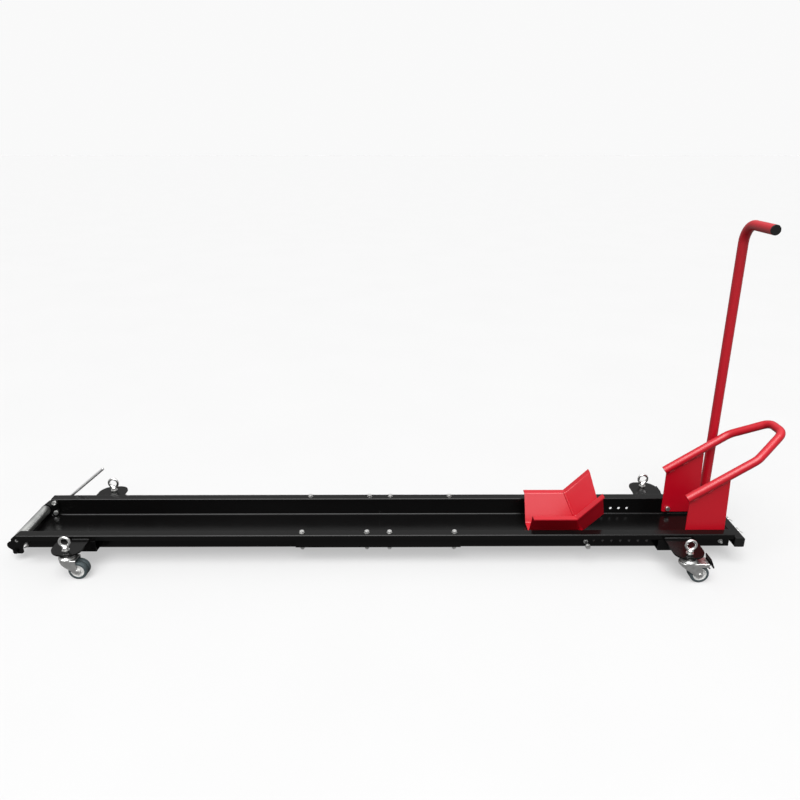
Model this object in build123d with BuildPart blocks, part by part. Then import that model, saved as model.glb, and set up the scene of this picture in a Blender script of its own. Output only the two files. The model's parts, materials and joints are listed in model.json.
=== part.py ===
from build123d import *

import os
from math import cos, degrees, radians, sin, tan

# Motorcycle dolly: a two-piece channel rail on four swivel casters, with a rocking wheel
# cradle, a hooped wheel chock, a pull handle and a lever foot under the entry roller.
# Millimetres. +X points from the entry roller to the chock, +Y to the left, +Z up.
# The origin is on the ground, in the middle of the footprint.

os.makedirs("parts", exist_ok=True)

# ---------------------------------------------------------------- driving dimensions
seam_x = -43.75  # where the two rail halves meet
seam_gap = 0.1

flange_top = 104.0
sheet = 3.0
bend = 4.5
channel_half = 100.0  # inner half width of the channel
rail_half = 132.0  # outer half width over the lips
floor_top = 46.0
lip_bottom = 87.0
wall_outer = channel_half + sheet
lip_inner = rail_half - sheet
rear_end = seam_x - 1108.0
front_end = seam_x + 1095.0

# M8 hardware
bolt_r = 4.0
bolt_hole_r = 4.5
hex_flats = 13.0
head_height = 5.3
nut_height = 6.5
washer_r = 8.0
washer_thick = 1.6

# splice bars hang under both flanges, across the seam
splice_length = 510.0
splice_wide = 20.0
splice_high = 44.0
splice_wall = 2.5
splice_y = (wall_outer + lip_inner) / 2
splice_bolt_x = (-235.0, -35.0, 35.0, 235.0)

# cradle
cradle_sheet = 4.0
cradle_base_half = 28.0
cradle_wall_high = 84.5
cradle_splay = 47.0
cradle_lip = 22.0
cradle_base_z = 53.5
cradle_rear_x = seam_x + 482.0
cradle_crease_x = seam_x + 650.0
cradle_tilt = 45.0
cradle_nose_base = 96.0
cradle_nose_lip = 145.0
pivot_x = seam_x + 645.5
pivot_z = 66.0
pivot_tube_r = 9.0
pivot_tube_half = 99.0
adjust_pitch = 27.5
adjust_holes = 8
cradle_bolt_head_y = -141.0

# chock
plate_inner = 96.0
plate_thick = 4.0
plate_rear_x = seam_x + 955.0
plate_front_x = seam_x + 1078.0
plate_front_top_x = seam_x + 1070.0
plate_bottom = 55.0
chock_bolt_x = (seam_x + 975.0, seam_x + 1065.0)
chock_bolt_z = 67.0
hoop_r = 13.0
hoop_wall = 2.0
hoop_start_x = seam_x + 948.0
hoop_start_z = 209.0
hoop_rise = 33.8  # degrees above the rail
hoop_half = 98.0
hoop_straight = 234.6
hoop_nose = 347.8
hoop_nose_half = 39.0

# cross tube and handle
cross_size = 30.0
cross_wall = 2.0
cross_rear_x = front_end + 0.5
cross_bottom = 64.0
cross_right_y = -134.0
cross_left_y = 160.0
cross_x = cross_rear_x + cross_size / 2
cross_z = cross_bottom + cross_size / 2
cross_top = cross_bottom + cross_size
end_plate_top = 92.0
clevis_y = (-67.0, 5.0)
clevis_r = 4.0
handle_r = 15.0
handle_wall = 2.0
handle_y = 140.0
handle_top = 1011.0
handle_grip_y = -32.0
handle_bend = 60.0
socket_r = 17.0
socket_high = 32.0

# entry end
floor_tongue = 14.0  # the floor runs on under the roller
floor_tongue_half = 94.0
bracket_inner = 96.2
roller_x = seam_x - 1127.0
roller_z = 68.0
roller_r = 16.0
roller_half = 94.0
foot_pivot_x = seam_x - 1134.0
foot_pivot_z = 32.0
foot_tube_x = seam_x - 1150.0
foot_tube_z = 49.0
foot_tube_r = 10.0
foot_arm_r = 12.5
foot_arm_thick = 5.0
foot_arm_y = (-95.5, 78.0)
lever_y = 143.0
lever_angle = 39.7
lever_reach = 258.5
lever_r = 4.5
bracket_bolt_x = seam_x - 1095.0
bracket_bolt_z = (56.0, 93.0)

# outriggers and casters
wing_top = lip_bottom + 4.5
wing_thick = 5.0
wing_bottom = wing_top - wing_thick
block_half = 47.0
block_inset = 17.0  # the box stands this far from the eye, towards the seam
block_high = 50.0
ledge_wide = 3.0  # the box stands out below the lip and carries the wing
wing_half = 47.0
eye_ring_r = 15.0
eye_wire_r = 4.2
eye_base_z = wing_top + washer_thick + nut_height
eye_z = eye_base_z + eye_ring_r + eye_wire_r
caster_trail = 32.0
wheel_r = 28.0
hub_r = 20.0
axle_r = 4.0
fork_top = 66.0
fork_sheet = 2.0
fork_inner = 18.0
fork_outer = fork_inner + fork_sheet
fork_bend = 3.0
fork_rear = -23.0
fork_rear_braked = -29.0
cheek_front = 31.0
cheek_end_r = 9.0
skirt_bottom = fork_top - 7.0
tongue_front = 55.0
tongue_high = 12.0
ball_ring = 15.0
ball_r = 1.95
pedal_pin_x = 46.0
pedal_pin_z = 59.5
pedal_pin_r = 2.0
pedal_boss_r = 3.9

# name, eye x, eye y, wing reach beyond the lip, brake
casters = (
    ("rear_right", seam_x - 930.0, -190.0, 86.0, False),
    ("rear_left", seam_x - 930.0, 190.0, 86.0, False),
    ("front_right", seam_x + 925.0, -214.0, 109.0, True),
    ("front_left", seam_x + 925.0, 214.0, 109.0, True),
)


def save(part, name):
    """Label a finished piece and write its STEP file."""
    part.label = name
    export_step(part, f"parts/{name}.step")


# ---------------------------------------------------------------- rail halves
def rail_section():
    """Channel with out-turned flanges and down-turned lips, as one bent sheet."""
    with BuildSketch() as section:
        with BuildLine():
            FilletPolyline(
                (rail_half, lip_bottom),
                (rail_half, flange_top),
                (channel_half, flange_top),
                (channel_half, floor_top),
                (-channel_half, floor_top),
                (-channel_half, flange_top),
                (-rail_half, flange_top),
                (-rail_half, lip_bottom),
                radius=bend,
            )
            offset(amount=sheet, side=Side.LEFT)
        make_face()
    return section.sketch


splice_holes = [(seam_x + dx, side * splice_y) for dx in splice_bolt_x for side in (-1, 1)]
adjust_x = [pivot_x + adjust_pitch * step for step in range(adjust_holes)]

with BuildPart() as rear_rail:
    with BuildSketch(Plane.YZ.offset(rear_end)):
        add(rail_section())
    extrude(amount=seam_x - seam_gap / 2 - rear_end)
    with BuildSketch(Plane.XY.offset(floor_top - sheet)):
        with Locations((rear_end, 0)):
            Rectangle(2 * floor_tongue, 2 * floor_tongue_half)
    extrude(amount=sheet)
    with Locations([(x, y, flange_top) for x, y in splice_holes if x < seam_x]):
        Hole(bolt_hole_r, depth=sheet * 2)
    with Locations([Plane.XZ * Location((bracket_bolt_x, z, 0)) for z in bracket_bolt_z]):
        Cylinder(bolt_hole_r, rail_half * 1.8, mode=Mode.SUBTRACT)
save(rear_rail.part, "rear_rail")

with BuildPart() as front_rail:
    with BuildSketch(Plane.YZ.offset(seam_x + seam_gap / 2)):
        add(rail_section())
    extrude(amount=front_end - seam_x - seam_gap / 2)
    with BuildSketch(Plane.YZ.offset(front_end - sheet)):
        with Locations((0, (floor_top - 1 + end_plate_top) / 2)):
            Rectangle(2 * channel_half + sheet, end_plate_top - floor_top + 1)
        with Locations([(y, cross_z) for y in clevis_y]):
            Circle(clevis_r + 0.1, mode=Mode.SUBTRACT)
    extrude(amount=sheet)
    with Locations([(x, y, flange_top) for x, y in splice_holes if x > seam_x]):
        Hole(bolt_hole_r, depth=sheet * 2)
    side_holes = [(x, chock_bolt_z) for x in chock_bolt_x]
    side_holes += [(x, pivot_z) for x in adjust_x]
    with Locations([Plane.XZ * Location((x, z, 0)) for x, z in side_holes]):
        Cylinder(bolt_hole_r, rail_half * 1.8, mode=Mode.SUBTRACT)
save(front_rail.part, "front_rail")


# ---------------------------------------------------------------- splice bars
splice_z = flange_top - sheet - splice_high / 2
for side, name in ((-1, "splice_bar_right"), (1, "splice_bar_left")):
    with BuildPart() as splice_bar:
        with BuildSketch(Plane.YZ.offset(seam_x - splice_length / 2)):
            with Locations((side * splice_y, splice_z)):
                RectangleRounded(splice_wide, splice_high, 2.5)
                RectangleRounded(
                    splice_wide - 2 * splice_wall,
                    splice_high - 2 * splice_wall,
                    0.8,
                    mode=Mode.SUBTRACT,
                )
        extrude(amount=splice_length)
        with Locations([(seam_x + dx, side * splice_y, splice_z) for dx in splice_bolt_x]):
            Cylinder(bolt_hole_r, splice_high * 1.5, mode=Mode.SUBTRACT)
    save(splice_bar.part, name)


# ---------------------------------------------------------------- M8 bolts, nuts, washers
def hex_bolt(shank):
    """Bolt along +Z: the head sits on top of z = 0 and the shank hangs below it."""
    with BuildPart() as bolt:
        with BuildSketch():
            RegularPolygon(hex_flats / 2, 6, major_radius=False)
        extrude(amount=head_height)
        chamfer(bolt.faces().sort_by(Axis.Z)[-1].edges(), 0.6)
        with BuildSketch():
            Circle(bolt_r)
        extrude(amount=-shank)
        chamfer(bolt.faces().sort_by(Axis.Z)[0].edges(), 0.8)
    return bolt.part


def hex_nut():
    """Nut standing on z = 0."""
    with BuildPart() as nut:
        with BuildSketch():
            RegularPolygon(hex_flats / 2, 6, major_radius=False)
            Circle(bolt_r, mode=Mode.SUBTRACT)
        extrude(amount=nut_height)
        outer = nut.edges().filter_by(GeomType.LINE).filter_by(Axis.Z, reverse=True)
        chamfer(outer, 0.5)
    return nut.part


def washer():
    """Flat washer standing on z = 0."""
    with BuildPart() as ring:
        Cylinder(washer_r, washer_thick, align=(Align.CENTER, Align.CENTER, Align.MIN))
        Cylinder(bolt_r + 0.2, washer_thick * 4, mode=Mode.SUBTRACT)
    return ring.part


def facing(x, y, z, side):
    """Location whose local Z points along side * Y and whose local Y points along Z."""
    return Location(Plane(origin=(x, y, z), x_dir=(-side, 0, 0), z_dir=(0, side, 0)))


splice_shank = flange_top - (splice_z - splice_high / 2) + washer_thick + nut_height + 4.0
splice_bolt = hex_bolt(splice_shank)
splice_head_z = flange_top + washer_thick
with BuildPart() as splice_bolts:
    with Locations([(x, y, splice_head_z) for x, y in splice_holes]):
        add(splice_bolt)
save(splice_bolts.part, "splice_bolts")

# bolts through the channel walls: heads inside, nuts outside
side_spots = [(bracket_bolt_x, z, bracket_inner) for z in bracket_bolt_z]
side_spots += [(x, chock_bolt_z, plate_inner) for x in chock_bolt_x]
side_bolt = hex_bolt(24.0)
with BuildPart() as side_bolts:
    for x, z, face in side_spots:
        for side in (-1, 1):
            with Locations(facing(x, side * (face - washer_thick), z, -side)):
                add(side_bolt)
save(side_bolts.part, "side_bolts")

nut = hex_nut()
nut_under_z = splice_z - splice_high / 2 - nut_height
with BuildPart() as m8_nuts:
    with Locations([(x, y, nut_under_z) for x, y in splice_holes]):
        add(nut)
    for x, z, face in side_spots:
        with Locations(facing(x, -wall_outer, z, -1), facing(x, wall_outer, z, 1)):
            add(nut)
    with Locations(
        facing(pivot_x, -wall_outer, pivot_z, -1),
        facing(pivot_x, wall_outer, pivot_z, 1),
    ):
        add(nut)
save(m8_nuts.part, "m8_nuts")

flat_washer = washer()
with BuildPart() as m8_washers:
    with Locations([(x, y, flange_top) for x, y in splice_holes]):
        add(flat_washer)
    for x, z, face in side_spots:
        with Locations(facing(x, -face, z, 1), facing(x, face, z, -1)):
            add(flat_washer)
    with Locations(facing(pivot_x, cradle_bolt_head_y + head_height, pivot_z, 1)):
        add(flat_washer)
save(m8_washers.part, "m8_washers")


# ---------------------------------------------------------------- entry end
def bracket_outline():
    """Side plate that carries the roller and, on its drop leg, the foot shaft."""
    with BuildSketch() as outline:
        with BuildLine():
            FilletPolyline(
                (seam_x - 1082.0, 101.0),
                (seam_x - 1111.0, 101.0),
                (seam_x - 1145.0, 74.0),
                (seam_x - 1145.0, 22.0),
                (seam_x - 1112.0, 22.0),
                (seam_x - 1112.0, 51.0),
                (seam_x - 1082.0, 51.0),
                radius=(2.0, 3.0, 6.0, 6.0, 6.0, 2.0, 2.0),
                close=True,
            )
        make_face()
        with Locations((roller_x, roller_z)):
            Circle(5.0, mode=Mode.SUBTRACT)
        with Locations((foot_pivot_x, foot_pivot_z)):
            Circle(5.05, mode=Mode.SUBTRACT)
        with Locations([(bracket_bolt_x, z) for z in bracket_bolt_z]):
            Circle(bolt_hole_r, mode=Mode.SUBTRACT)
    return outline.sketch


bracket_thick = channel_half - bracket_inner
for start, name in ((bracket_inner, "end_bracket_right"), (-channel_half, "end_bracket_left")):
    with BuildPart() as bracket:
        with BuildSketch(Plane.XZ.offset(start)):
            add(bracket_outline())
        extrude(amount=bracket_thick)
    save(bracket.part, name)

roller_plane = Plane(origin=(roller_x, 0, roller_z), x_dir=(1, 0, 0), z_dir=(0, -1, 0))
with BuildPart() as entry_roller:
    with BuildSketch(roller_plane.offset(-roller_half)):
        Circle(roller_r)
        Circle(roller_r - 2.0, mode=Mode.SUBTRACT)
    extrude(amount=2 * roller_half)
    for start in (-roller_half, roller_half - 8.0):
        with BuildSketch(roller_plane.offset(start)):
            Circle(roller_r - 1.0)
            Circle(5.05, mode=Mode.SUBTRACT)
        extrude(amount=8.0)
    rims = entry_roller.edges().filter_by(GeomType.CIRCLE)
    rims = rims.filter_by(lambda rim: rim.radius > roller_r - 0.01)
    chamfer(rims, 0.8)
save(entry_roller.part, "entry_roller")

with BuildPart() as roller_axle:
    with BuildSketch(roller_plane.offset(-channel_half)):
        Circle(5.0)
    extrude(amount=2 * channel_half)
save(roller_axle.part, "roller_axle")

foot_plane = Plane(origin=(foot_pivot_x, 0, foot_pivot_z), x_dir=(1, 0, 0), z_dir=(0, -1, 0))
with BuildPart() as foot_shaft:
    with BuildSketch(foot_plane.offset(-lever_y - 8.0)):
        Circle(5.0)
    extrude(amount=lever_y + 8.0 + channel_half + 0.3)
    with BuildSketch(foot_plane.offset(channel_half + 0.3)):
        Circle(washer_r)
    extrude(amount=washer_thick)
    with BuildSketch(foot_plane.offset(channel_half + 0.3 + washer_thick)):
        RegularPolygon(hex_flats / 2, 6, major_radius=False)
    extrude(amount=head_height)
save(foot_shaft.part, "foot_shaft")

with BuildPart() as foot_arms:
    for start in foot_arm_y:
        with BuildSketch(Plane.XZ.offset(-start - foot_arm_thick)):
            with BuildLine():
                CenterArc((foot_tube_x, foot_tube_z), foot_arm_r, 0, 360)
                CenterArc((foot_pivot_x, foot_pivot_z), 9.0, 0, 360)
            make_hull()
            with Locations((foot_pivot_x, foot_pivot_z)):
                Circle(5.0, mode=Mode.SUBTRACT)
        extrude(amount=foot_arm_thick)
save(foot_arms.part, "foot_arms")

foot_tube_start = foot_arm_y[0] + foot_arm_thick
foot_tube_end = foot_arm_y[1]
with BuildPart() as foot_tube:
    with BuildSketch(Plane.XZ.offset(-foot_tube_end)):
        with Locations((foot_tube_x, foot_tube_z)):
            Circle(foot_tube_r)
            Circle(foot_tube_r - 2.0, mode=Mode.SUBTRACT)
    extrude(amount=foot_tube_end - foot_tube_start)
save(foot_tube.part, "foot_tube")

rod_dir = Vector(cos(radians(lever_angle)), 0, sin(radians(lever_angle)))
lever_origin = Vector(foot_pivot_x, lever_y, foot_pivot_z)
rod_start = 6.0
rod_plane = Plane(origin=lever_origin + rod_dir * rod_start, z_dir=rod_dir)
with BuildPart() as lever_hub:
    with BuildSketch(foot_plane.offset(-lever_y - 6.5)):
        Circle(10.0)
        Circle(5.0, mode=Mode.SUBTRACT)
    extrude(amount=13.0)
    with BuildSketch(rod_plane):
        Circle(lever_r)
    extrude(amount=12.0, mode=Mode.SUBTRACT)
save(lever_hub.part, "lever_hub")

with BuildPart() as lever_rod:
    with BuildSketch(rod_plane):
        Circle(lever_r)
    extrude(amount=lever_reach - rod_start)
    fillet(lever_rod.faces().sort_by(Axis.Z)[-1].edges(), 1.5)
save(lever_rod.part, "lever_rod")


# ---------------------------------------------------------------- wheel cradle
def cradle_half(plane, reach):
    """Trough with out-turned lips, extruded by reach from plane (local Y is up)."""
    lip_y = cradle_base_half + cradle_splay
    with BuildPart() as half:
        with BuildSketch(plane):
            with BuildLine():
                FilletPolyline(
                    (lip_y + cradle_lip, cradle_wall_high),
                    (lip_y, cradle_wall_high),
                    (cradle_base_half, 0),
                    (-cradle_base_half, 0),
                    (-lip_y, cradle_wall_high),
                    (-lip_y - cradle_lip, cradle_wall_high),
                    radius=4.5,
                )
                offset(amount=cradle_sheet, side=Side.LEFT)
            make_face()
        extrude(amount=reach)
    return half.part


tilt = radians(cradle_tilt)
crease = Vector(cradle_crease_x, 0, cradle_base_z)
tilt_dir = Vector(cos(tilt), 0, sin(tilt))
tilt_up = Vector(-sin(tilt), 0, cos(tilt))
rear_length = cradle_crease_x - cradle_rear_x
flat_plane = Plane(origin=(cradle_rear_x, 0, cradle_base_z), x_dir=(0, 1, 0), z_dir=(1, 0, 0))
tilt_plane = Plane(origin=crease - tilt_dir * 60.0, x_dir=(0, 1, 0), z_dir=tilt_dir)
mitre_dir = Vector(cos(tilt / 2), 0, sin(tilt / 2))
mitre_plane = Plane(origin=crease, x_dir=(0, 1, 0), z_dir=mitre_dir)
nose_low = crease + tilt_dir * cradle_nose_base
nose_high = crease + tilt_dir * cradle_nose_lip + tilt_up * cradle_wall_high
nose_edge = nose_high - nose_low
nose_plane = Plane(origin=nose_low, x_dir=nose_edge, z_dir=nose_edge.cross(Vector(0, 1, 0)))

flat_blank = cradle_half(flat_plane, rear_length + 20.0)
tilt_blank = cradle_half(tilt_plane, 60.0 + cradle_nose_lip + 20.0)
if nose_plane.z_dir.X < 0:
    nose_plane = -nose_plane

with BuildPart() as cradle_flat:
    add(flat_blank)
    split(bisect_by=mitre_plane, keep=Keep.BOTTOM)
with BuildPart() as cradle_rise:
    add(tilt_blank)
    split(bisect_by=mitre_plane, keep=Keep.TOP)
    split(bisect_by=nose_plane, keep=Keep.BOTTOM)
with BuildPart() as wheel_cradle:
    add(cradle_flat.part)
    add(cradle_rise.part)
    with Locations(Plane.XZ * Location((pivot_x, pivot_z, 0))):
        Cylinder(pivot_tube_r, rail_half, mode=Mode.SUBTRACT)
save(wheel_cradle.part, "wheel_cradle")

pivot_plane = Plane(origin=(pivot_x, 0, pivot_z), x_dir=(1, 0, 0), z_dir=(0, -1, 0))
with BuildPart() as cradle_pivot_tube:
    with BuildSketch(pivot_plane.offset(-pivot_tube_half)):
        Circle(pivot_tube_r)
        Circle(bolt_r + 0.05, mode=Mode.SUBTRACT)
    extrude(amount=2 * pivot_tube_half)
save(cradle_pivot_tube.part, "cradle_pivot_tube")

cradle_bolt_reach = wall_outer + nut_height + 3.0 - cradle_bolt_head_y - head_height
cradle_bolt_part = hex_bolt(cradle_bolt_reach)
with BuildPart() as cradle_bolt:
    with Locations(facing(pivot_x, cradle_bolt_head_y + head_height, pivot_z, -1)):
        add(cradle_bolt_part)
save(cradle_bolt.part, "cradle_bolt")


# ---------------------------------------------------------------- wheel chock
rise = radians(hoop_rise)
hoop_plane = Plane(
    origin=(hoop_start_x, 0, hoop_start_z),
    x_dir=(cos(rise), 0, sin(rise)),
    z_dir=(-sin(rise), 0, cos(rise)),
)
with BuildPart() as chock_hoop:
    with BuildLine(hoop_plane) as hoop_path:
        FilletPolyline(
            (0, -hoop_half),
            (hoop_straight, -hoop_half),
            (hoop_nose, -hoop_nose_half),
            (hoop_nose, hoop_nose_half),
            (hoop_straight, hoop_half),
            (0, hoop_half),
            radius=(60.0, 38.0, 38.0, 60.0),
        )
    with BuildSketch(Plane(origin=hoop_path.wire() @ 0, z_dir=hoop_path.wire() % 0)):
        Circle(hoop_r)
        Circle(hoop_r - hoop_wall, mode=Mode.SUBTRACT)
    sweep()
    hoop_ends = [Plane(origin=hoop_path.wire() @ end, z_dir=hoop_plane.x_dir) for end in (0, 1)]
    for end_plane in hoop_ends:
        with BuildSketch(end_plane):
            Circle(hoop_r - 1.0)
        extrude(amount=3.0)
save(chock_hoop.part, "chock_hoop")


def under_hoop(x):
    """Height of the underside of the hoop's straight arm at x."""
    return hoop_start_z + (x - hoop_start_x) * tan(rise) - (hoop_r + 0.05) / cos(rise)


for start, name in ((plate_inner, "chock_plate_right"), (-channel_half, "chock_plate_left")):
    with BuildPart() as chock_plate:
        with BuildSketch(Plane.XZ.offset(start)):
            with BuildLine():
                FilletPolyline(
                    (plate_rear_x, plate_bottom),
                    (plate_front_x, plate_bottom),
                    (plate_front_top_x, under_hoop(plate_front_top_x)),
                    (plate_rear_x, under_hoop(plate_rear_x)),
                    radius=(5.0, 5.0, 1.0, 1.0),
                    close=True,
                )
            make_face()
            with Locations([(x, chock_bolt_z) for x in chock_bolt_x]):
                Circle(bolt_hole_r, mode=Mode.SUBTRACT)
        extrude(amount=plate_thick)
    save(chock_plate.part, name)


# ---------------------------------------------------------------- cross tube and handle
with BuildPart() as end_cross_tube:
    with BuildSketch(Plane.XZ.offset(-cross_left_y)):
        with Locations((cross_x, cross_z)):
            RectangleRounded(cross_size, cross_size, 3.0)
            RectangleRounded(
                cross_size - 2 * cross_wall, cross_size - 2 * cross_wall, 1.0, mode=Mode.SUBTRACT
            )
    extrude(amount=cross_left_y - cross_right_y)
    with BuildSketch(Plane.XY.offset(cross_top)):
        with Locations((cross_x, handle_y)):
            Circle(socket_r)
            Circle(handle_r + 0.05, mode=Mode.SUBTRACT)
    extrude(amount=socket_high)
    with BuildSketch(Plane.YZ.offset(cross_rear_x)):
        with Locations([(y, cross_z) for y in clevis_y]):
            Circle(clevis_r + 0.1)
    extrude(amount=cross_size, mode=Mode.SUBTRACT)
save(end_cross_tube.part, "end_cross_tube")

plug = cross_size - 2 * cross_wall
with BuildPart() as cross_tube_caps:
    for end, outward in ((cross_right_y, 1), (cross_left_y, -1)):
        with BuildSketch(Plane.XZ.offset(-end)):
            with Locations((cross_x, cross_z)):
                RectangleRounded(cross_size, cross_size, 3.0)
        extrude(amount=3.0 * outward)
        with BuildSketch(Plane.XZ.offset(-end)):
            with Locations((cross_x, cross_z)):
                RectangleRounded(plug, plug, 1.0)
                RectangleRounded(plug - 4.0, plug - 4.0, 1.0, mode=Mode.SUBTRACT)
        extrude(amount=-12.0 * outward)
save(cross_tube_caps.part, "cross_tube_caps")

clip_x = cross_rear_x + cross_size + 7.5
with BuildPart() as clevis_pins:
    for y in clevis_y:
        with BuildSketch(Plane.YZ.offset(front_end - sheet)):
            with Locations((y, cross_z)):
                Circle(clevis_r)
        extrude(amount=sheet + cross_size + 14.5)
        with BuildSketch(Plane.YZ.offset(front_end - sheet)):
            with Locations((y, cross_z)):
                Circle(7.0)
        extrude(amount=-3.0)
        with BuildSketch(Plane.XZ):
            with Locations((clip_x, cross_z)):
                Circle(1.2)
        extrude(amount=100.0, both=True, mode=Mode.SUBTRACT)
save(clevis_pins.part, "clevis_pins")

with BuildPart() as r_clips:
    for y in clevis_y:
        with BuildLine(Plane.XY.offset(cross_z)) as clip_path:
            FilletPolyline(
                (clip_x, y - 12.0),
                (clip_x, y + 20.5),
                (clip_x + 9.0, y + 20.5),
                (clip_x + 9.0, y),
                (clip_x + 13.0, y - 14.0),
                radius=(4.4, 4.4, 12.0),
            )
        with BuildSketch(Plane(origin=clip_path.wire() @ 0, z_dir=clip_path.wire() % 0)):
            Circle(1.1)
        sweep(path=clip_path.wire())
save(r_clips.part, "r_clips")

with BuildPart() as handle:
    with BuildLine(Plane.YZ.offset(cross_x)) as handle_path:
        FilletPolyline(
            (handle_y, cross_top + 0.05),
            (handle_y, handle_top),
            (handle_grip_y, handle_top),
            radius=handle_bend,
        )
    with BuildSketch(Plane(origin=handle_path.wire() @ 0, z_dir=(0, 0, 1))):
        Circle(handle_r)
        Circle(handle_r - handle_wall, mode=Mode.SUBTRACT)
    sweep()
save(handle.part, "handle")

with BuildPart() as handle_grip_cap:
    with BuildSketch(Plane.XZ.offset(-handle_grip_y)):
        with Locations((cross_x, handle_top)):
            Circle(handle_r)
    extrude(amount=3.0)
    fillet(handle_grip_cap.faces().sort_by(Axis.Y)[0].edges(), 1.5)
    with BuildSketch(Plane.XZ.offset(-handle_grip_y)):
        with Locations((cross_x, handle_top)):
            Circle(handle_r - handle_wall)
            Circle(handle_r - handle_wall - 2.0, mode=Mode.SUBTRACT)
    extrude(amount=-14.0)
save(handle_grip_cap.part, "handle_grip_cap")


# ---------------------------------------------------------------- outriggers
def outrigger(eye_x, eye_y, reach):
    """Wing plate with two round corners, on a box that fills the flange recess."""
    side = 1 if eye_y > 0 else -1
    block_in = side * wall_outer
    block_out = side * lip_inner
    ledge = side * (rail_half + ledge_wide)
    block_top = flange_top - sheet
    block_bottom = block_top - block_high
    inward = 1 if eye_x < seam_x else -1
    block_x = eye_x + block_inset * inward

    def spot(along, out):
        return (eye_x + inward * along, side * (rail_half + out))

    with BuildPart() as body:
        with BuildSketch(Plane.YZ.offset(block_x - block_half)) as box:
            Polygon((block_in, block_bottom), (ledge, block_bottom), (ledge, wing_bottom),
                    (block_out, wing_bottom), (block_out, block_top), (block_in, block_top), align=None)
            fillet(box.vertices().group_by(Axis.Y)[-1], sheet)
            offset(amount=-sheet, kind=Kind.INTERSECTION, mode=Mode.SUBTRACT)
        extrude(amount=2 * block_half)
        with BuildSketch(Plane.XY.offset(wing_bottom)):
            with BuildLine():
                FilletPolyline(
                    spot(wing_half, 0.0),
                    spot(wing_half - 1.0, reach),
                    spot(-wing_half, reach),
                    spot(-wing_half - 1.0, 0.0),
                    radius=(0, 32.0, 44.0, 0),
                    close=True,
                )
            make_face()
            with Locations((eye_x, eye_y)):
                Circle(bolt_r + 0.2, mode=Mode.SUBTRACT)
        extrude(amount=wing_thick)
    return body.part


for name, eye_x, eye_y, reach, _ in casters:
    save(outrigger(eye_x, eye_y, reach), f"outrigger_{name}")

spots = [(eye_x, eye_y) for _, eye_x, eye_y, _, _ in casters]


# ---------------------------------------------------------------- tie-down eyes and stems
with BuildPart() as eye_nut:
    with BuildSketch(Plane.XZ) as eye_base:
        Polygon((0, eye_base_z), (10.0, eye_base_z), (10.0, eye_base_z + 3.5),
                (6.0, eye_base_z + 7.0), (0, eye_base_z + 7.0), align=None)
    revolve(axis=Axis.Z)
    with Locations(Location((0, 0, eye_z), (90, 0, 0))):
        Torus(eye_ring_r, eye_wire_r)
    with BuildSketch(Plane.XY.offset(eye_base_z)):
        Circle(bolt_r)
    extrude(amount=5.5, mode=Mode.SUBTRACT)
with BuildPart() as eye_nuts:
    with Locations([(x, y, 0) for x, y in spots]):
        add(eye_nut.part)
save(eye_nuts.part, "eye_nuts")

with BuildPart() as stem_washers:
    with Locations([(x, y, wing_top) for x, y in spots]):
        Cylinder(11.0, washer_thick, align=(Align.CENTER, Align.CENTER, Align.MIN))
        Cylinder(bolt_r, washer_thick * 3, mode=Mode.SUBTRACT)
save(stem_washers.part, "stem_washers")

with BuildPart() as stem_nuts:
    with BuildSketch(Plane.XY.offset(wing_top + washer_thick)):
        with Locations(spots):
            RegularPolygon(hex_flats / 2, 6, major_radius=False)
            Circle(bolt_r, mode=Mode.SUBTRACT)
    extrude(amount=eye_base_z - wing_top - washer_thick)
save(stem_nuts.part, "stem_nuts")

stem_head_top = fork_top - fork_sheet - 0.1
with BuildPart() as caster_stems:
    with BuildSketch(Plane.XY.offset(stem_head_top - 3.5)):
        with Locations(spots):
            Circle(7.0)
    extrude(amount=3.5)
    with BuildSketch(Plane.XY.offset(stem_head_top)):
        with Locations(spots):
            Circle(bolt_r)
    extrude(amount=eye_base_z + 5.4 - stem_head_top)
save(caster_stems.part, "caster_stems")

# bearing cup: a dish under the wing, with a groove for the ball ring
cup_bottom = fork_top + 0.3
cup_r = 24.0
groove_half = ball_r + 0.15
groove_top = fork_top + 2 * ball_r + 0.15
with BuildPart() as caster_cup:
    with BuildSketch(Plane.XZ):
        Polygon((bolt_r, cup_bottom), (cup_r, cup_bottom), (cup_r, cup_bottom + 3.0),
                (cup_r - 4.5, cup_bottom + 8.0), (11.0, cup_bottom + 8.0), (11.0, wing_bottom),
                (bolt_r, wing_bottom), align=None)
        Polygon((ball_ring - groove_half, cup_bottom), (ball_ring - groove_half, groove_top),
                (ball_ring + groove_half, groove_top), (ball_ring + groove_half, cup_bottom),
                align=None, mode=Mode.SUBTRACT)
    revolve(axis=Axis.Z)
with BuildPart() as caster_cups:
    with Locations([(x, y, 0) for x, y in spots]):
        add(caster_cup.part)
save(caster_cups.part, "caster_cups")

with BuildPart() as caster_balls:
    with Locations([(x, y, fork_top + ball_r + 0.05) for x, y in spots]):
        with PolarLocations(ball_ring, 12):
            Sphere(ball_r)
save(caster_balls.part, "caster_balls")


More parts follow.
